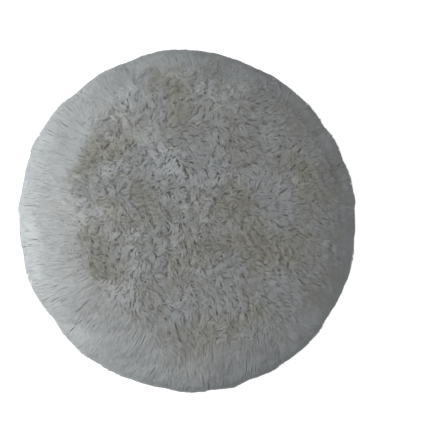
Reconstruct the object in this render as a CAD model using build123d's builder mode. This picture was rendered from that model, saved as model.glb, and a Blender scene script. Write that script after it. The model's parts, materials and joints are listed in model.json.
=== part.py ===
from build123d import *
from math import asin, degrees, pi
import os

# A round lambswool polishing pad. It lies on its loop face, wool upwards, and
# the origin is the middle of that face. The pad's axis is Z.

# Wool, measured to the fibre tips
face_pile_length = 24.5     # from the hide to the crown of the face
flank_pile_length = 17.25   # from the side band's seam to the widest point
crown_drop = 4.5            # fall of the face from its centre to its shoulder
flank_reach = 13.0          # how far the flank's curve runs in from the widest point
widest_drop = 0.5           # the widest point below the top of the hide
skirt_height = 2.6          # lowest fibres of the flank above the loop face
shoulder_gap = 0.3          # between the face wool and the flank wool

# Core, from the loop face up
core_radius = 80.0
loop_nap_height = 1.2
loop_cloth_thickness = 0.8
glue_thickness = 0.3
stiffener_thickness = 1.0
foam_thickness = 10.0
foam_edge_radius = 1.5
hide_thickness = 1.6
seam_allowance = 4.0        # rim left clear of the stiffener, for the needle
centring_hole_radius = 8.0

# Side band and binding tape
fit_gap = 0.3               # between curved pieces that lie on each other
band_butt_gap = 0.4
tape_thickness = 0.5
tape_flange_width = 6.5
tape_wall_height = 4.5

# Thread
thread_width = 0.6
thread_depth = 0.4
lockstitch_length = 3.2
lockstitch_pitch = 4.5
overcast_height = 3.0
overcast_pitch = 3.5
ladder_stitch_length = 4.0
ladder_stitch_count = 4

# Heights that follow
loop_cloth_bottom = loop_nap_height
loop_cloth_top = loop_cloth_bottom + loop_cloth_thickness
stiffener_bottom = loop_cloth_top + glue_thickness
stiffener_top = stiffener_bottom + stiffener_thickness
foam_bottom = stiffener_top + glue_thickness
foam_top = foam_bottom + foam_thickness
hide_bottom = foam_top + glue_thickness
hide_top = hide_bottom + hide_thickness
tape_bottom = loop_cloth_bottom - tape_thickness
tape_top = loop_cloth_bottom + tape_wall_height
pad_height = hide_top + face_pile_length
shoulder_height = pad_height - crown_drop
widest_height = hide_top - widest_drop

# Radii that follow
band_inner_radius = core_radius + fit_gap
band_outer_radius = band_inner_radius + hide_thickness
tape_inner_radius = band_outer_radius + fit_gap
tape_outer_radius = tape_inner_radius + tape_thickness
flange_inner_radius = tape_outer_radius - tape_flange_width
stiffener_radius = core_radius - seam_allowance
nap_radius = flange_inner_radius - fit_gap
seam_face_radius = band_outer_radius + fit_gap / 2
pile_root_radius = seam_face_radius + thread_depth + fit_gap
pad_radius = pile_root_radius + flank_pile_length
shoulder_radius = pad_radius - flank_reach

os.makedirs("parts", exist_ok=True)


def layer(bottom, thickness, radius, hole_radius=0.0):
    """One flat layer of the core, with the centring hole where it has one."""
    with BuildPart() as disc:
        with BuildSketch(Plane.XY.offset(bottom)):
            Circle(radius)
            if hole_radius:
                Circle(hole_radius, mode=Mode.SUBTRACT)
        extrude(amount=thickness)
    return disc.part


def stitch_count(radius, pitch):
    """How many stitches of this pitch close a round seam."""
    return round(2 * pi * radius / pitch)


def save(piece, name):
    """Name one finished piece and write its file."""
    piece.label = name
    export_step(piece, f"parts/{name}.step")


# Loop fastener: brushed loops on a knitted ground cloth
loop_nap = layer(0, loop_nap_height, nap_radius, centring_hole_radius)
save(loop_nap, "loop_nap")
loop_backing = layer(
    loop_cloth_bottom, loop_cloth_thickness, band_outer_radius, centring_hole_radius
)
save(loop_backing, "loop_backing")

# Stiffener sheet between its two films of glue
loop_glue_film = layer(loop_cloth_top, glue_thickness, stiffener_radius, centring_hole_radius)
save(loop_glue_film, "loop_glue_film")
stiffener_disc = layer(
    stiffener_bottom, stiffener_thickness, stiffener_radius, centring_hole_radius
)
save(stiffener_disc, "stiffener_disc")
foam_glue_film = layer(stiffener_top, glue_thickness, stiffener_radius, centring_hole_radius)
save(foam_glue_film, "foam_glue_film")

# Foam cushion with eased rims
with BuildPart() as foam_cushion:
    with BuildSketch(Plane.XY.offset(foam_bottom)):
        Circle(core_radius)
        Circle(centring_hole_radius, mode=Mode.SUBTRACT)
    extrude(amount=foam_thickness)
    rims = foam_cushion.edges().filter_by(GeomType.CIRCLE).group_by(SortBy.RADIUS)[-1]
    fillet(rims, foam_edge_radius)
save(foam_cushion.part, "foam_cushion")

# Sheepskin face: glue on the foam's flat top, then the hide out over the side band
hide_glue_film = layer(foam_top, glue_thickness, core_radius - foam_edge_radius)
save(hide_glue_film, "hide_glue_film")
face_hide = layer(hide_bottom, hide_thickness, band_outer_radius)
save(face_hide, "face_hide")

# Sheepskin side band: a strip on edge round the core, its two ends butted
with BuildPart() as side_band_hide:
    with BuildSketch(Plane.XY.offset(loop_cloth_top)):
        Circle(band_outer_radius)
        Circle(band_inner_radius, mode=Mode.SUBTRACT)
        with Locations((-band_outer_radius, 0)):
            Rectangle(4 * hide_thickness, band_butt_gap, mode=Mode.SUBTRACT)
    extrude(amount=hide_bottom - loop_cloth_top)
save(side_band_hide.part, "side_band_hide")

# Edge binding: one tape, folded under the loop cloth and up the side band
with BuildPart() as edge_binding:
    with BuildSketch(Plane.XZ):
        with BuildLine():
            Polyline(
                (flange_inner_radius, tape_bottom),
                (tape_outer_radius, tape_bottom),
                (tape_outer_radius, tape_top),
                (tape_inner_radius, tape_top),
                (tape_inner_radius, loop_cloth_bottom),
                (flange_inner_radius, loop_cloth_bottom),
                close=True,
            )
        make_face()
    revolve(axis=Axis.Z)
    fold = edge_binding.edges().group_by(Axis.Z)[0].sort_by(SortBy.RADIUS)[-1]
    fillet(fold, 0.6 * tape_thickness)
save(edge_binding.part, "edge_binding")

# Lockstitches along the middle of the tape's flange
lockstitch_radius = (flange_inner_radius + tape_inner_radius) / 2
with BuildPart() as binding_stitches:
    with BuildSketch(Plane.XY.offset(tape_bottom - thread_depth)):
        with PolarLocations(lockstitch_radius, stitch_count(lockstitch_radius, lockstitch_pitch)):
            SlotOverall(lockstitch_length, thread_width, rotation=90)
    extrude(amount=thread_depth)
save(binding_stitches.part, "binding_stitches")

# Overcast stitches over the rim where the face hide meets the side band
with BuildPart() as face_seam_thread:
    with BuildSketch(Plane.XY.offset(hide_top - overcast_height)):
        with PolarLocations(
            seam_face_radius + thread_depth / 2, stitch_count(band_outer_radius, overcast_pitch)
        ):
            Rectangle(thread_depth, thread_width)
    extrude(amount=overcast_height)
save(face_seam_thread.part, "face_seam_thread")

# Ladder stitches across the butted ends of the side band, between tape and face seam
ladder_pitch = (hide_top - overcast_height - tape_top) / ladder_stitch_count
ladder_bottom = tape_top + (ladder_pitch - thread_width) / 2
with BuildPart() as band_end_stitches:
    for step in range(ladder_stitch_count):
        with BuildSketch(Plane.XY.offset(ladder_bottom + step * ladder_pitch)):
            with Locations((-seam_face_radius - thread_depth / 2, 0)):
                Rectangle(thread_depth, ladder_stitch_length)
        extrude(amount=thread_width)
save(band_end_stitches.part, "band_end_stitches")

# Face wool: a dome that stands on the face hide and fans out to the shoulder
face_edge_radius = shoulder_radius - shoulder_gap
crown_radius = (face_edge_radius**2 + crown_drop**2) / (2 * crown_drop)
crown_angle = degrees(asin(face_edge_radius / crown_radius))
with BuildPart() as face_pile:
    with BuildSketch(Plane.XZ):
        with BuildLine():
            Polyline(
                (0, pad_height),
                (0, hide_top),
                (band_outer_radius, hide_top),
                (face_edge_radius, shoulder_height),
            )
            CenterArc(
                (0, pad_height - crown_radius),
                crown_radius,
                start_angle=90 - crown_angle,
                arc_size=crown_angle,
            )
        make_face()
    revolve(axis=Axis.Z)
save(face_pile.part, "face_pile")

# Flank wool: a ring that grows from the side band, round the tape, out to the full radius
tape_clear_radius = tape_outer_radius + fit_gap
tape_clear_height = tape_top + fit_gap
with BuildPart() as flank_pile:
    with BuildSketch(Plane.XZ):
        with BuildLine():
            Polyline(
                (shoulder_radius, shoulder_height),
                (pile_root_radius, hide_top),
                (pile_root_radius, tape_clear_height),
                (tape_clear_radius, tape_clear_height),
                (tape_clear_radius, skirt_height),
                (shoulder_radius, skirt_height),
            )
            EllipticalCenterArc(
                (shoulder_radius, widest_height),
                flank_reach,
                widest_height - skirt_height,
                start_angle=270,
                arc_size=90,
            )
            EllipticalCenterArc(
                (shoulder_radius, widest_height),
                flank_reach,
                shoulder_height - widest_height,
                start_angle=0,
                arc_size=90,
            )
        make_face()
    revolve(axis=Axis.Z)
save(flank_pile.part, "flank_pile")
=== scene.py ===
import json
import math
import bpy
import bmesh
import numpy as np
from mathutils import Matrix, Vector


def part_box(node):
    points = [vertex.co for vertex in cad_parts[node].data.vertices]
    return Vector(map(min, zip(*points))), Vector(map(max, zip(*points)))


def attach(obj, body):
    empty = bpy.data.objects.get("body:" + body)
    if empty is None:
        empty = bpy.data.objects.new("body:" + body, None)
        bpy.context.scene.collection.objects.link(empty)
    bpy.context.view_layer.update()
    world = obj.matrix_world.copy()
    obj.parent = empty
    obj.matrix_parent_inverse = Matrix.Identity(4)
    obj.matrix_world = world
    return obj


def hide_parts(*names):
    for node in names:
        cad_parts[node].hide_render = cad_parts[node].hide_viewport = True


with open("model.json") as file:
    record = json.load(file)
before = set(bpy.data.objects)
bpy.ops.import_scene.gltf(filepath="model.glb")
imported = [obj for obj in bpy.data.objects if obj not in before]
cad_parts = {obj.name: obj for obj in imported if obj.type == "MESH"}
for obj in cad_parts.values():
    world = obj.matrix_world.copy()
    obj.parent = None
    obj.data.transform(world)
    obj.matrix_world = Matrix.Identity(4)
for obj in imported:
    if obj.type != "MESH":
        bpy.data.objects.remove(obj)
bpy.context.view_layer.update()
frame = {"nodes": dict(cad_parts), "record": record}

print("frame loaded")

# Sizes from the frame, in metres
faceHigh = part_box("face_pile")[1]
flankLow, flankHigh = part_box("flank_pile")
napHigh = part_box("loop_nap")[1]
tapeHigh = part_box("edge_binding")[1]
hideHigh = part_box("face_hide")[1]
padRadius = flankHigh[0]
faceRadius = faceHigh[0]
crownTop = faceHigh[2]
shoulderTop = flankHigh[2]
skirtBottom = flankLow[2]
hideTop = hideHigh[2]
holeRadius = frame["record"]["mounts"][1]["dims"]["r_mm"] / 1000
widestAt = skirtBottom + 0.38 * (shoulderTop - skirtBottom)


def deselectAll():
    if bpy.context.object and bpy.context.object.mode != "OBJECT":
        bpy.ops.object.mode_set(mode="OBJECT")
    bpy.ops.object.select_all(action="DESELECT")


def selectBy(piece, kind, wanted):  # in edit mode, select the faces or edges that wanted() picks
    bpy.ops.mesh.select_mode(type=kind)
    bpy.ops.mesh.select_all(action="DESELECT")
    mesh = bmesh.from_edit_mesh(piece.data)
    for item in mesh.faces if kind == "FACE" else mesh.edges:
        item.select_set(wanted([v.co for v in item.verts]))
    bmesh.update_edit_mesh(piece.data)


def hashed(cellX, cellY, salt):  # the same number from 0 to 1 for the same cell, each run
    mixed = np.sin(cellX * 127.1 + cellY * 311.7 + salt * 74.7) * 43758.5453
    return mixed - np.floor(mixed)


def softNoise(x, y, size, salt):  # smooth noise, -1 to 1
    px, py = x / size, y / size
    cx, cy = np.floor(px), np.floor(py)
    fx, fy = px - cx, py - cy
    fx, fy = fx * fx * (3 - 2 * fx), fy * fy * (3 - 2 * fy)
    low = hashed(cx, cy, salt) * (1 - fx) + hashed(cx + 1, cy, salt) * fx
    high = hashed(cx, cy + 1, salt) * (1 - fx) + hashed(cx + 1, cy + 1, salt) * fx
    return 2 * (low * (1 - fy) + high * fy) - 1


def nearestLock(x, y, size, salt):  # the lock each fibre belongs to: its centre and three chance values
    cx, cy = np.floor(x / size), np.floor(y / size)
    best = np.full(x.shape, 1e9)
    lock = [np.zeros(x.shape) for _ in range(5)]
    for stepX in (-1, 0, 1):
        for stepY in (-1, 0, 1):
            tx, ty = cx + stepX, cy + stepY
            mx = (tx + 0.1 + 0.8 * hashed(tx, ty, salt)) * size
            my = (ty + 0.1 + 0.8 * hashed(tx, ty, salt + 1)) * size
            gap = (mx - x) ** 2 + (my - y) ** 2
            closer = gap < best
            best = np.where(closer, gap, best)
            found = (mx, my, *(hashed(tx, ty, salt + more) for more in (2, 3, 4)))
            lock = [np.where(closer, new, old) for new, old in zip(found, lock)]
    return lock


def unit(v):
    return v / np.maximum(np.linalg.norm(v, axis=1, keepdims=True), 1e-9)


def spread(values, low, high):
    return low + values * (high - low)


def newMaterial(name, roughness, sheen=0.0, specular=0.3):
    material = bpy.data.materials.new(name)
    material.use_nodes = True
    shader = material.node_tree.nodes["Principled BSDF"]
    shader.inputs["Roughness"].default_value = roughness
    shader.inputs["Sheen Weight"].default_value = sheen
    shader.inputs["Sheen Roughness"].default_value = 0.45
    shader.inputs["Specular IOR Level"].default_value = specular
    return material, material.node_tree.nodes, material.node_tree.links, shader


def addRamp(nodes, stops):
    node = nodes.new("ShaderNodeValToRGB")
    ends = node.color_ramp.elements
    ends[0].position, ends[0].color = stops[0][0], (*stops[0][1], 1)
    ends[1].position, ends[1].color = stops[-1][0], (*stops[-1][1], 1)
    for place, colour in stops[1:-1]:
        ends.new(place).color = (*colour, 1)
    return node


def addNoise(nodes, links, vector, scale, detail=3):
    node = nodes.new("ShaderNodeTexNoise")
    node.inputs["Scale"].default_value = scale
    node.inputs["Detail"].default_value = detail
    links.new(vector, node.inputs["Vector"])
    return node


def mixColours(nodes, links, first, second, blend="MIX"):  # a Mix node's colour sockets have only numbers
    node = nodes.new("ShaderNodeMix")
    node.data_type = "RGBA"
    node.blend_type = blend
    links.new(first.outputs["Color"], node.inputs[6])
    links.new(second.outputs["Color"], node.inputs[7])
    return node, node.outputs[2]


def addBump(nodes, links, height, shader, distance, strength=0.6):
    node = nodes.new("ShaderNodeBump")
    node.inputs["Strength"].default_value = strength
    node.inputs["Distance"].default_value = distance
    links.new(height, node.inputs["Height"])
    links.new(node.outputs["Normal"], shader.inputs["Normal"])


# Wool fibre: the map runs along each fibre in U, and V is the fibre's own shade of colour; along U the
# colour is darkened towards the root as painted shade deep in the pile
def fibreMaterial(name, look):
    material, nodes, links, shader = newMaterial(
        name, look["roughness"], look["sheen"], look["specular"]
    )
    fibreMap = nodes.new("ShaderNodeUVMap")
    fibreMap.uv_map = "OFBake"
    parts = nodes.new("ShaderNodeSeparateXYZ")
    links.new(fibreMap.outputs["UV"], parts.inputs["Vector"])
    shade = addRamp(nodes, look["shades"])
    links.new(parts.outputs["Y"], shade.inputs["Fac"])
    depth = addRamp(nodes, look["depths"])
    links.new(parts.outputs["X"], depth.inputs["Fac"])
    both, colour = mixColours(nodes, links, shade, depth, "MULTIPLY")
    both.inputs["Factor"].default_value = 1.0
    links.new(colour, shader.inputs["Base Color"])
    return material


faceLook = {
    "roughness": 0.85, "sheen": 0.15, "specular": 0.15,
    "shades": [
        (0.0, (0.395, 0.375, 0.315)), (0.3, (0.440, 0.440, 0.405)),
        (0.6, (0.478, 0.495, 0.500)), (1.0, (0.525, 0.560, 0.580)),
    ],
    # depths: painted shade, each fibre darker towards its root where the pile shades it, with a faint
    # warm tint of the wool's base
    "depths": [(0.0, (0.94, 0.93, 0.90)), (0.45, (0.98, 0.975, 0.965)), (1.0, (1.0, 1.0, 1.0))],
}
flankLook = {
    "roughness": 0.8, "sheen": 0.2, "specular": 0.15,
    "shades": [(0.0, (0.420, 0.428, 0.412)), (0.4, (0.428, 0.446, 0.450)), (1.0, (0.452, 0.488, 0.502))],
    # depths: painted shade, each fibre darker towards its root where the fleece shades it
    "depths": [(0.0, (0.93, 0.925, 0.91)), (0.4, (0.97, 0.97, 0.97)), (1.0, (1.0, 1.0, 1.0))],
}
faceFibre = fibreMaterial("faceFibre", faceLook)
flankFibre = fibreMaterial("flankFibre", flankLook)


def groundMaterial():  # the dense wool under the tips, beige below the face and paler round the side
    material, nodes, links, shader = newMaterial("fleeceGround", 0.95, 0.1, 0.1)
    place = nodes.new("ShaderNodeTexCoord").outputs["Object"]
    stains = addNoise(nodes, links, place, 120, 6).outputs["Fac"]
    face = addRamp(nodes, [(0.3, (0.400, 0.390, 0.350)), (0.7, (0.450, 0.455, 0.440))])
    side = addRamp(nodes, [(0.3, (0.405, 0.420, 0.418)), (0.7, (0.432, 0.455, 0.460))])
    links.new(stains, face.inputs["Fac"])
    links.new(stains, side.inputs["Fac"])
    flat = nodes.new("ShaderNodeVectorMath")
    flat.operation = "SUBTRACT"
    flat.inputs[1].default_value = (0, faceWool["shift"], 0)
    links.new(place, flat.inputs[0])
    squash = nodes.new("ShaderNodeVectorMath")
    squash.operation = "MULTIPLY"
    squash.inputs[1].default_value = (1, 1, 0)
    links.new(flat.outputs["Vector"], squash.inputs[0])
    out = nodes.new("ShaderNodeVectorMath")
    out.operation = "LENGTH"
    links.new(squash.outputs["Vector"], out.inputs[0])
    edge = nodes.new("ShaderNodeMapRange")
    edge.inputs["From Min"].default_value = faceWool["reach"] - ground["fadeIn"]
    edge.inputs["From Max"].default_value = faceWool["reach"] + ground["fadeOut"]
    links.new(out.outputs["Value"], edge.inputs["Value"])
    both, colour = mixColours(nodes, links, face, side)
    links.new(edge.outputs["Result"], both.inputs["Factor"])
    links.new(colour, shader.inputs["Base Color"])
    addBump(nodes, links, addNoise(nodes, links, place, 1400).outputs["Fac"], shader, 0.0006)
    return material


# The ground of the fleece: one closed shell over the hide and round the core
ground = {
    "depth": 0.0036, "flankDepth": 0.0040, "sides": 128, "shoulder": 0.016, "skirt": 0.007,
    "voxel": 0.0016, "lumps": 0.0012, "lumpSize": 0.006, "clearBelow": 0.0025, "clearTape": 0.0006,
    "clearHide": 0.0004, "fadeIn": 0.006, "fadeOut": 0.002,
}


def makeGround():
    deselectAll()
    outer = padRadius - ground["flankDepth"]
    top = shoulderTop - ground["depth"]
    bottom = skirtBottom + ground["clearBelow"]
    bpy.ops.mesh.primitive_cylinder_add(
        vertices=ground["sides"], radius=outer, depth=top - bottom, location=(0, 0, (top + bottom) / 2)
    )
    piece = bpy.context.object
    piece.name = "fleeceGround"
    bpy.ops.object.transform_apply(location=True, rotation=True, scale=True)
    bpy.ops.object.mode_set(mode="EDIT")
    inner = tapeHigh[0] + ground["clearTape"]
    selectBy(piece, "FACE", lambda p: max(v.z for v in p) < bottom + 1e-5)
    bpy.ops.mesh.inset(thickness=outer - inner)
    bpy.ops.mesh.extrude_region_move(
        TRANSFORM_OT_translate={"value": (0, 0, hideTop + ground["clearHide"] - bottom)}
    )
    rise = crownTop - ground["depth"] - top
    for share, lift in ((0.24, 0.42), (0.3, 0.34), (0.5, 0.20)):  # the face swells to its crown
        selectBy(piece, "FACE", lambda p: min(v.z for v in p) > top - 1e-5 and len(p) > 8)
        reach = min(v.co.xy.length for v in piece.data.vertices if v.co.z > top - 1e-5)
        bpy.ops.mesh.inset(thickness=share * reach)
        bpy.ops.transform.translate(value=(0, 0, lift * rise))
        bpy.ops.object.mode_set(mode="OBJECT")
        bpy.ops.object.mode_set(mode="EDIT")
    rim = outer - 1e-4
    selectBy(piece, "EDGE", lambda p: all(abs(v.z - top) < 1e-5 and v.xy.length > rim for v in p))
    bpy.ops.mesh.bevel(offset=ground["shoulder"], segments=8, affect="EDGES")
    selectBy(piece, "EDGE", lambda p: all(abs(v.z - bottom) < 1e-5 and v.xy.length > rim for v in p))
    bpy.ops.mesh.bevel(offset=ground["skirt"], segments=5, affect="EDGES")
    bpy.ops.object.mode_set(mode="OBJECT")
    remesh = piece.modifiers.new("remesh", "REMESH")
    remesh.mode = "VOXEL"
    remesh.voxel_size = ground["voxel"]
    bpy.ops.object.modifier_apply(modifier="remesh")
    wool = piece.vertex_groups.new(name="wool")
    outside = [
        v.index for v in piece.data.vertices
        if v.co.z > hideTop + 0.004 or v.co.xy.length > inner + 0.003
    ]
    wool.add(outside, 1.0, "REPLACE")
    clouds = bpy.data.textures.new("locks", "CLOUDS")
    clouds.noise_scale = ground["lumpSize"]
    lumps = piece.modifiers.new("lumps", "DISPLACE")
    lumps.texture = clouds
    lumps.strength = ground["lumps"]
    lumps.vertex_group = "wool"
    bpy.ops.object.modifier_apply(modifier="lumps")
    bpy.ops.object.shade_smooth()
    piece.data.materials.append(groundMaterial())
    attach(piece, "root")
    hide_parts("face_pile", "flank_pile")
    print("fleece ground:", len(piece.data.polygons), "faces")
    return piece


# One fibre, modelled once: a three-sided spindle with its tip at the top
def fibreShape():
    deselectAll()
    bpy.ops.mesh.primitive_cone_add(vertices=3, radius1=1, radius2=0, depth=1, location=(0, 0, 0.5))
    fibre = bpy.context.object
    bpy.ops.object.transform_apply(location=True, rotation=True, scale=True)
    bpy.ops.object.mode_set(mode="EDIT")
    for height in (1 / 3, 2 / 3):
        bpy.ops.mesh.select_all(action="SELECT")
        bpy.ops.mesh.bisect(plane_co=(0, 0, height), plane_no=(0, 0, 1))
    bpy.ops.mesh.select_all(action="SELECT")
    bpy.ops.mesh.quads_convert_to_tris()
    bpy.ops.mesh.normals_make_consistent(inside=False)
    bpy.ops.object.mode_set(mode="OBJECT")
    corners = np.array([v.co[:] for v in fibre.data.vertices])
    triangles = np.array([f.vertices[:] for f in fibre.data.polygons])
    bpy.data.objects.remove(fibre)
    level = np.rint(corners[:, 2] * 3).astype(int)
    fullness = np.array([0.75, 1.0, 0.8, 0.0])[level]  # a fibre is fullest a third of the way up
    across = corners[:, :2] / np.maximum(np.linalg.norm(corners[:, :2], axis=1, keepdims=True), 1e-9)
    return across * fullness[:, None], level, triangles


fibreAcross, fibreLevel, fibreTriangles = fibreShape()
softShade = 0.20


def plantFibres(name, spines, sideways, facing, widths, shades, material, slot):
    count = len(widths)
    along = unit(spines[:, 3] - spines[:, 0])
    sideways = unit(sideways - along * (sideways * along).sum(axis=1, keepdims=True))
    upright = np.cross(along, sideways)
    rounding = (
        fibreAcross[None, :, 0, None] * sideways[:, None, :]
        + fibreAcross[None, :, 1, None] * upright[:, None, :]
    )
    points = spines[:, fibreLevel, :] + widths[:, None, None] * rounding
    starts = np.arange(count) * len(fibreLevel)
    triangles = (fibreTriangles[None] + starts[:, None, None]).reshape(-1, 3)
    mesh = bpy.data.meshes.new(name)
    mesh.vertices.add(count * len(fibreLevel))
    mesh.vertices.foreach_set("co", points.astype(np.float32).ravel())
    mesh.loops.add(triangles.size)
    mesh.loops.foreach_set("vertex_index", triangles.astype(np.int32).ravel())
    mesh.polygons.add(len(triangles))
    mesh.polygons.foreach_set("loop_start", np.arange(0, triangles.size, 3, dtype=np.int32))
    mesh.update(calc_edges=True)
    lit = facing[:, None, :] + softShade * rounding  # a fibre takes light as the fleece round it does
    mesh.normals_split_custom_set_from_vertices(unit(lit.reshape(-1, 3)))
    fibreMap = mesh.uv_layers.new(name="OFBake")
    u = np.tile(fibreLevel / 3, (count, 1))[:, fibreTriangles.ravel()]
    v = np.repeat(shades[:, None], fibreTriangles.size, axis=1)
    both = np.stack([0.02 + 0.96 * u, 0.02 + 0.96 * v], axis=2)
    fibreMap.data.foreach_set("uv", both.astype(np.float32).ravel())
    mesh.materials.append(material)
    piece = bpy.data.objects.new(name, mesh)
    bpy.context.scene.collection.objects.link(piece)
    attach(piece, "root")
    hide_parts(*slot[1:])
    print(name, count, "fibres")
    return piece


# The fleece's outer surface: run is the way along it from the shoulder, inward over 0 and down the
# side below 0
flankUp, flankDown, flankOut = shoulderTop - widestAt, widestAt - skirtBottom, padRadius - faceRadius


def quarterArc(a, b):
    return math.pi / 4 * (3 * (a + b) - math.sqrt((3 * a + b) * (a + 3 * b)))


arcUp, arcDown = quarterArc(flankOut, flankUp), quarterArc(flankOut, flankDown)
softShoulder = {"drop": 0.0022, "at": -0.002, "width": 0.010, "turnsFrom": 0.026}


def fleeceSurface(turn, run):  # point and outward normal
    quarter = math.pi / 2
    climb = np.where(run > -arcUp, quarter * (1 + run / arcUp), -quarter * (-run - arcUp) / arcDown)
    climb = np.clip(climb, -1.15 * quarter, quarter)
    half = np.where(climb > 0, flankUp, flankDown)
    out = np.where(run > 0, faceRadius - run, faceRadius + flankOut * np.cos(climb))
    fall = (crownTop - shoulderTop) * (np.maximum(out, 0) / faceRadius) ** 2
    high = np.where(run > 0, crownTop - fall, widestAt + half * np.sin(climb))
    away = (run - softShoulder["at"]) / softShoulder["width"]
    high = high - softShoulder["drop"] * np.exp(-(away ** 2))
    slope = 2 * (crownTop - shoulderTop) * out / faceRadius**2
    flat = np.where(run > 0, slope, np.cos(climb) / flankOut)
    rise = np.where(run > 0, 1.0, np.sin(climb) / half)
    point = np.stack([out * np.cos(turn), out * np.sin(turn), high], axis=1)
    return point, unit(np.stack([flat * np.cos(turn), flat * np.sin(turn), rise], axis=1))


def softNormal(turn, run):  # the fleece's normal with its shoulder rounded off, for the light alone
    start = softShoulder["turnsFrom"]
    share = np.clip((start - run) / (start + arcUp), 0, 1)
    tilt = 0.98 * share**1.6 + 0.9 * np.clip((-arcUp - run) / arcDown, 0, 1)
    return np.stack([np.sin(tilt) * np.cos(turn), np.sin(tilt) * np.sin(turn), np.cos(tilt)], axis=1)


# Face wool: short cut fibres in small locks, leaning with the nap. Its disc lies a little off the pad's
# middle, because the wool of the near flank is combed back further over the edge
faceWool = {
    "count": 50000, "seed": 7, "reach": 0.0850, "shift": 0.0085, "ragged": 0.0022, "thinning": 0.0042,
    "length": (0.0060, 0.0090), "width": 0.00024, "lockSize": 0.0034, "pull": 0.24,
    "bends": (0.20, 0.60, 1.05), "curl": 0.0004, "napAngle": math.radians(15), "nap": 0.7, "fanOut": 0.9,
    "wander": 1.1, "lockWander": 0.6, "lockHeight": 0.0003, "fibreHeight": 0.0002, "dips": 0.0006,
    "dipSize": 0.014, "proud": 0.0003,
    "names": ("woolCentre", "woolInnerRing", "woolMiddleRing", "woolOuterRing", "woolFaceEdge"),
}


def makeFaceWool():
    look = faceWool
    chance = np.random.default_rng(look["seed"])
    count = look["count"]
    fromMiddle = look["reach"] * np.sqrt(chance.random(count))
    angle = 2 * math.pi * chance.random(count)
    fromMiddle = fromMiddle + look["ragged"] * softNoise(angle * look["reach"], fromMiddle, 0.012, 5) * (
        fromMiddle / look["reach"]) ** 8
    scatter = look["thinning"] * chance.normal(0, 1, count)
    fromMiddle = np.abs(fromMiddle + scatter * (fromMiddle / look["reach"]) ** 4)
    x, y = fromMiddle * np.cos(angle), look["shift"] + fromMiddle * np.sin(angle)
    radius, turn = np.hypot(x, y), np.arctan2(y, x)
    warpX, warpY = softNoise(x, y, 0.004, 21) * 0.0012, softNoise(x, y, 0.004, 22) * 0.0012
    lockX, lockY, lockA, lockB, lockC = nearestLock(x + warpX, y + warpY, look["lockSize"], 11)
    heading = 2 * math.pi * lockA
    leanX = (
        look["nap"] * math.cos(look["napAngle"]) + look["fanOut"] * x / faceRadius
        + look["wander"] * softNoise(x, y, 0.016, 31) + look["lockWander"] * np.cos(heading)
    )
    leanY = (
        look["nap"] * math.sin(look["napAngle"]) + look["fanOut"] * y / faceRadius
        + look["wander"] * softNoise(x, y, 0.016, 32) + look["lockWander"] * np.sin(heading)
    )
    leanX, leanY = leanX + chance.normal(0, 0.3, count), leanY + chance.normal(0, 0.3, count)
    lean = unit(np.stack([leanX, leanY, np.zeros(count)], axis=1))
    surface, normal = fleeceSurface(turn, faceRadius - radius)
    length = spread(chance.random(count), *look["length"]) * (0.85 + 0.3 * lockB)
    strength = 0.75 + 0.5 * lockC
    steps = [np.zeros((count, 3))]
    for bend in look["bends"]:
        pose = (bend * strength)[:, None]
        steps.append(steps[-1] + (normal * np.cos(pose) + lean * np.sin(pose)) * (length / 3)[:, None])
    spines = np.stack(steps, axis=1)
    tip = look["proud"] + look["lockHeight"] * (2 * lockB - 1)
    tip = tip + look["fibreHeight"] * chance.normal(0, 1, count)
    tip = tip + look["dips"] * softNoise(x, y, look["dipSize"], 41)
    foot = surface + normal * (tip - ((spines[:, 3]) * normal).sum(axis=1))[:, None]
    spines = spines + foot[:, None, :]
    side = np.stack([-lean[:, 1], lean[:, 0], np.zeros(count)], axis=1)
    phase = 2 * math.pi * lockC + chance.normal(0, 0.5, count)
    for level in (1, 2, 3):
        pull = look["pull"] * (level / 3) ** 1.3
        spines[:, level, 0] += pull * (lockX - warpX - x)
        spines[:, level, 1] += pull * (lockY - warpY - y)
        spines[:, level] += side * (look["curl"] * np.sin(phase + 2.1 * level))[:, None]
    shade = (
        0.50 + 0.28 * softNoise(x, y, 0.020, 51) + 0.16 * softNoise(x, y, 0.007, 52)
        + 0.18 * (lockA - 0.5) + 0.07 * chance.normal(0, 1, count)
    )
    shade = np.clip(shade, 0, 1)
    widths = look["width"] * spread(chance.random(count), 0.7, 1.3)
    facing = unit(softNormal(turn, faceRadius - radius) + 0.20 * lean)
    order = np.argsort(fromMiddle, kind="stable")
    for name, members in zip(look["names"], np.array_split(order, len(look["names"]))):
        plantFibres(
            name, spines[members], side[members], facing[members], widths[members], shade[members],
            faceFibre, ("face_wool", "face_pile"),
        )


# Flank wool: longer, smoother fibres combed outward over the shoulder and down to the skirt
flankWool = {
    "count": 44000, "seed": 9, "length": (0.011, 0.016), "width": 0.00022, "lockSize": 0.0060,
    "drift": 0.04, "depths": (0.0032, 0.0013, 0.0004, 0.0001),
    "lockHeight": 0.0001, "fibreHeight": 0.00006, "outline": 0.0015, "outlineSize": 0.013,
    "tufts": 0.0006, "tuftSize": 0.004, "tuckIn": 0.011,
    "names": ("woolSkirt", "woolLowerSide", "woolUpperSide", "woolShoulder"),
}


def faceEdge(turn):  # how far out the face wool's disc reaches at this turn
    side = faceWool["shift"] * np.cos(turn)
    return faceWool["shift"] * np.sin(turn) + np.sqrt(faceWool["reach"] ** 2 - side**2)


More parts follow.
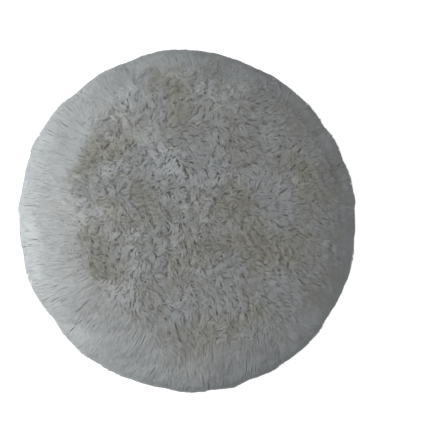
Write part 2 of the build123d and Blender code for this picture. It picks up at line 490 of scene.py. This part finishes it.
def makeFlankWool():
    look = flankWool
    chance = np.random.default_rng(look["seed"])
    count = look["count"]
    turn = 2 * math.pi * chance.random(count)
    inner = faceRadius - faceEdge(turn) + look["tuckIn"]
    run = spread(chance.random(count), -arcUp - arcDown, inner)
    around = turn * padRadius
    lockA, lockB, lockC = nearestLock(around, run, look["lockSize"], 61)[2:]
    length = spread(chance.random(count), *look["length"]) * (0.85 + 0.3 * lockB)
    drift = look["drift"] * (
        softNoise(around, run, 0.03, 71) + 0.4 * (lockC - 0.5) + 0.3 * chance.normal(0, 1, count)
    )
    lift = look["lockHeight"] * (2 * lockB - 1) + look["fibreHeight"] * chance.normal(0, 1, count)
    lift = lift + look["outline"] * softNoise(around, run, look["outlineSize"], 72)
    lift = lift + look["tufts"] * softNoise(around, run, look["tuftSize"], 73)
    shade = (
        0.30 + 0.40 * np.clip(0.5 - run / arcUp, 0, 1) + 0.16 * softNoise(around, run, 0.03, 81)
        + 0.06 * (lockA - 0.5) + 0.05 * chance.normal(0, 1, count)
    )
    shade = np.clip(shade, 0, 1)
    order = np.argsort(run, kind="stable")
    spines = []
    for level, depth in enumerate(look["depths"]):
        point, normal = fleeceSurface(turn, run)
        spines.append(point + normal * (lift * level / 3 - depth)[:, None])
        if level == 2:
            facing = softNormal(turn, run)
        run = run - length / 3
        turn = turn + drift / 3
    spines = np.stack(spines, axis=1)
    spines[:, :, 2] = np.maximum(spines[:, :, 2], 0.0012)
    side = np.stack([-np.sin(turn), np.cos(turn), np.zeros(count)], axis=1)
    widths = look["width"] * spread(chance.random(count), 0.7, 1.3)
    for name, members in zip(look["names"], np.array_split(order, len(look["names"]))):
        plantFibres(
            name, spines[members], side[members], facing[members], widths[members], shade[members],
            flankFibre, ("flank_wool", "flank_pile"),
        )


# Loop face: a ground disc with the centring hole, and brushed loops that arch over it
loopFace = {"count": 9500, "seed": 13, "ground": 0.0006, "span": (0.0007, 0.0013), "width": 0.00010}
loopLook = {
    "roughness": 0.8, "sheen": 0.2, "specular": 0.3,
    "shades": [(0.0, (0.50, 0.50, 0.48)), (1.0, (0.66, 0.66, 0.64))],
    # depths: painted shade, each loop darker at its foot by the cloth
    "depths": [(0.0, (0.80, 0.80, 0.80)), (1.0, (1.0, 1.0, 1.0))],
}


def knitMaterial():  # the loop cloth's ground, knitted in fine rows
    material, nodes, links, shader = newMaterial("loopKnit", 0.9, 0.1)
    place = nodes.new("ShaderNodeTexCoord").outputs["Object"]
    rows = nodes.new("ShaderNodeTexWave")
    rows.inputs["Scale"].default_value = 260
    rows.inputs["Distortion"].default_value = 1.5
    links.new(place, rows.inputs["Vector"])
    # painted shade: the colour darkens in the grooves between the knitted rows, where the bump is low
    colour = addRamp(nodes, [(0.0, (0.34, 0.34, 0.33)), (1.0, (0.58, 0.58, 0.56))])
    links.new(rows.outputs["Fac"], colour.inputs["Fac"])
    links.new(colour.outputs["Color"], shader.inputs["Base Color"])
    addBump(nodes, links, rows.outputs["Fac"], shader, 0.0003)
    return material


def makeLoopFace():
    look = loopFace
    chance = np.random.default_rng(look["seed"])
    deselectAll()
    bpy.ops.mesh.primitive_circle_add(vertices=128, radius=napHigh[0], location=(0, 0, napHigh[2]))
    piece = bpy.context.object
    piece.name = "loopFaceGround"
    bpy.ops.object.transform_apply(location=True, rotation=True, scale=True)
    bpy.ops.object.mode_set(mode="EDIT")
    bpy.ops.mesh.primitive_circle_add(vertices=128, radius=holeRadius, location=(0, 0, napHigh[2]))
    bpy.ops.mesh.select_all(action="SELECT")
    bpy.ops.mesh.bridge_edge_loops()
    bpy.ops.mesh.select_all(action="SELECT")
    bpy.ops.mesh.extrude_region_move(TRANSFORM_OT_translate={"value": (0, 0, -look["ground"])})
    bpy.ops.mesh.select_all(action="SELECT")
    bpy.ops.mesh.normals_make_consistent(inside=False)
    bpy.ops.object.mode_set(mode="OBJECT")
    piece.data.materials.append(knitMaterial())
    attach(piece, "root")
    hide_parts("loop_nap")
    count = look["count"]
    inner, outer = holeRadius + 0.0009, napHigh[0] - 0.0009
    radius = np.sqrt(spread(chance.random(count), inner**2, outer**2))
    angle = 2 * math.pi * chance.random(count)
    x, y = radius * np.cos(angle), radius * np.sin(angle)
    heading = 2 * math.pi * softNoise(x, y, 0.02, 91) + chance.normal(0, 0.7, count)
    span = spread(chance.random(count), *look["span"])
    high = napHigh[2] - look["ground"]
    low = look["width"] * 1.2
    heights = (high + 0.0001, high - 0.75 * (high - low), low, high - 0.35 * (high - low))
    spines = np.stack([
        np.stack([x + np.cos(heading) * span * (k / 3 - 0.5), y + np.sin(heading) * span * (k / 3 - 0.5),
                  np.full(count, heights[k])], axis=1)
        for k in range(4)
    ], axis=1)
    side = np.stack([-np.sin(heading), np.cos(heading), np.zeros(count)], axis=1)
    facing = np.tile([0.0, 0.0, -1.0], (count, 1))
    plantFibres(
        "loopFaceLoops", spines, side, facing, look["width"] * spread(chance.random(count), 0.8, 1.2),
        chance.random(count), fibreMaterial("loopFibre", loopLook), ("loop_cloth", "loop_nap"),
    )


# Finishes for the pieces that stay as they are
def tapeMaterial():  # ribs across the tape, counted round the rim
    material, nodes, links, shader = newMaterial("bindingTape", 0.85, 0.15)
    place = nodes.new("ShaderNodeTexCoord").outputs["Object"]
    rim = nodes.new("ShaderNodeTexGradient")
    rim.gradient_type = "RADIAL"
    links.new(place, rim.inputs["Vector"])
    ribs = nodes.new("ShaderNodeMath")
    ribs.operation = "MULTIPLY"
    ribs.inputs[1].default_value = 2 * math.pi * 520
    links.new(rim.outputs["Fac"], ribs.inputs[0])
    wave = nodes.new("ShaderNodeMath")
    wave.operation = "SINE"
    links.new(ribs.outputs[0], wave.inputs[0])
    lift = nodes.new("ShaderNodeMath")
    lift.operation = "MULTIPLY_ADD"
    lift.inputs[1].default_value = 0.5
    lift.inputs[2].default_value = 0.5
    links.new(wave.outputs[0], lift.inputs[0])
    # painted shade: the colour darkens in the grooves between the ribs, where the bump is low
    colour = addRamp(nodes, [(0.0, (0.30, 0.30, 0.29)), (1.0, (0.48, 0.48, 0.46))])
    links.new(lift.outputs[0], colour.inputs["Fac"])
    links.new(colour.outputs["Color"], shader.inputs["Base Color"])
    addBump(nodes, links, lift.outputs[0], shader, 0.0002)
    return material


def mottledMaterial(name, dark, pale, scale, roughness, depth=0.0003, sheen=0.0):
    material, nodes, links, shader = newMaterial(name, roughness, sheen)
    place = nodes.new("ShaderNodeTexCoord").outputs["Object"]
    grain = addNoise(nodes, links, place, scale, 5)
    colour = addRamp(nodes, [(0.35, dark), (0.65, pale)])
    links.new(grain.outputs["Fac"], colour.inputs["Fac"])
    links.new(colour.outputs["Color"], shader.inputs["Base Color"])
    addBump(nodes, links, grain.outputs["Fac"], shader, depth)
    return material


def finishNodes():
    sheepskin = mottledMaterial("sheepskin", (0.52, 0.46, 0.37), (0.66, 0.60, 0.50), 300, 0.7)
    thread = mottledMaterial("thread", (0.60, 0.59, 0.55), (0.78, 0.77, 0.73), 2400, 0.6, 0.0001)
    glue = mottledMaterial("glue", (0.55, 0.50, 0.34), (0.66, 0.61, 0.45), 200, 0.3, 0.0001)
    foam = mottledMaterial("foam", (0.035, 0.037, 0.04), (0.11, 0.115, 0.12), 1600, 0.9)
    sheet = mottledMaterial("stiffenerSheet", (0.55, 0.55, 0.53), (0.62, 0.62, 0.60), 90, 0.45, 0.0001)
    finishes = {
        "face_hide": sheepskin, "side_band_hide": sheepskin, "face_seam_thread": thread,
        "band_end_stitches": thread, "binding_stitches": thread, "hide_glue_film": glue,
        "foam_glue_film": glue, "loop_glue_film": glue, "foam_cushion": foam,
        "stiffener_disc": sheet, "loop_backing": knitMaterial(), "edge_binding": tapeMaterial(),
    }
    for node, material in finishes.items():
        slots = frame["nodes"][node].data.materials
        slots.clear()
        slots.append(material)
    print("finishes on", len(finishes), "frame nodes")


# Camera: above the face and off to one side, rolled so that the near flank lies at the lower left
shot = {"elevation": 74, "roll": 60, "distance": 0.602, "lens": 85, "aside": 0.0150, "below": -0.0016}


def makeCamera():
    middle = Vector((0, 0, 0.5 * (crownTop + skirtBottom)))
    tilt = math.radians(shot["elevation"])
    back = Vector((0, -math.cos(tilt), math.sin(tilt)))
    turn = back.to_track_quat("Z", "Y").to_matrix() @ Matrix.Rotation(math.radians(shot["roll"]), 3, "Z")
    eye = middle + back * shot["distance"] + turn @ Vector((shot["aside"], shot["below"], 0))
    deselectAll()
    bpy.ops.object.camera_add(location=eye, rotation=turn.to_euler())
    camera = bpy.context.object
    camera.data.lens = shot["lens"]
    camera.data.clip_start = 0.01
    bpy.context.scene.camera = camera
    return middle, turn


# Light: a soft window on the camera's left, a weak fill, and a pale surround
window = {"left": 0.46, "up": 0.05, "back": 0.46, "size": 0.60, "power": 5.1}
surround = {"strength": 0.48, "floor": 0.80, "glow": 0.75}


def makeLights(middle, turn):
    spot = middle + turn @ Vector((-window["left"], window["up"], window["back"]))
    aim = (spot - middle).to_track_quat("Z", "Y").to_euler()
    bpy.ops.object.light_add(type="AREA", location=spot, rotation=aim)
    lamp = bpy.context.object.data
    lamp.size = window["size"]
    lamp.energy = window["power"]
    world = bpy.context.scene.world or bpy.data.worlds.new("surround")
    bpy.context.scene.world = world
    world.use_nodes = True
    nodes, links = world.node_tree.nodes, world.node_tree.links
    sky = nodes["Background"]
    sky.inputs["Color"].default_value = (1, 1, 1, 1)
    path = nodes.new("ShaderNodeLightPath")
    seen = nodes.new("ShaderNodeMath")
    seen.operation = "MAXIMUM"
    links.new(path.outputs["Is Camera Ray"], seen.inputs[0])
    links.new(path.outputs["Is Glossy Ray"], seen.inputs[1])
    strength = nodes.new("ShaderNodeMapRange")
    strength.inputs["To Min"].default_value = surround["strength"]
    strength.inputs["To Max"].default_value = 1.0
    links.new(seen.outputs[0], strength.inputs["Value"])
    links.new(strength.outputs["Result"], sky.inputs["Strength"])


def makeFloor():  # it keeps the pad's shadow, and is clear from below, so that the loop face can be seen
    deselectAll()
    bpy.ops.mesh.primitive_plane_add(size=6, location=(0, 0, -0.0002))
    floor = bpy.context.object
    floor.name = "floor"
    floor.visible_diffuse = False
    material, nodes, links, shader = newMaterial("paleFloor", 0.9)
    shader.inputs["Base Color"].default_value = (surround["floor"],) * 3 + (1,)
    shader.inputs["Emission Color"].default_value = (1, 1, 1, 1)
    path = nodes.new("ShaderNodeLightPath")
    glow = nodes.new("ShaderNodeMath")
    glow.operation = "MULTIPLY"
    glow.inputs[1].default_value = surround["glow"]
    links.new(path.outputs["Is Camera Ray"], glow.inputs[0])
    links.new(glow.outputs[0], shader.inputs["Emission Strength"])
    clear = nodes.new("ShaderNodeBsdfTransparent")
    side = nodes.new("ShaderNodeNewGeometry")
    either = nodes.new("ShaderNodeMixShader")
    links.new(side.outputs["Backfacing"], either.inputs[0])
    links.new(shader.outputs["BSDF"], either.inputs[1])
    links.new(clear.outputs["BSDF"], either.inputs[2])
    links.new(either.outputs[0], nodes["Material Output"].inputs["Surface"])
    floor.data.materials.append(material)


makeGround()
makeFaceWool()
makeFlankWool()
makeLoopFace()
finishNodes()
middle, turn = makeCamera()
makeLights(middle, turn)
makeFloor()
bpy.context.scene.view_settings.view_transform = "Standard"
print("camera, lights and floor placed")
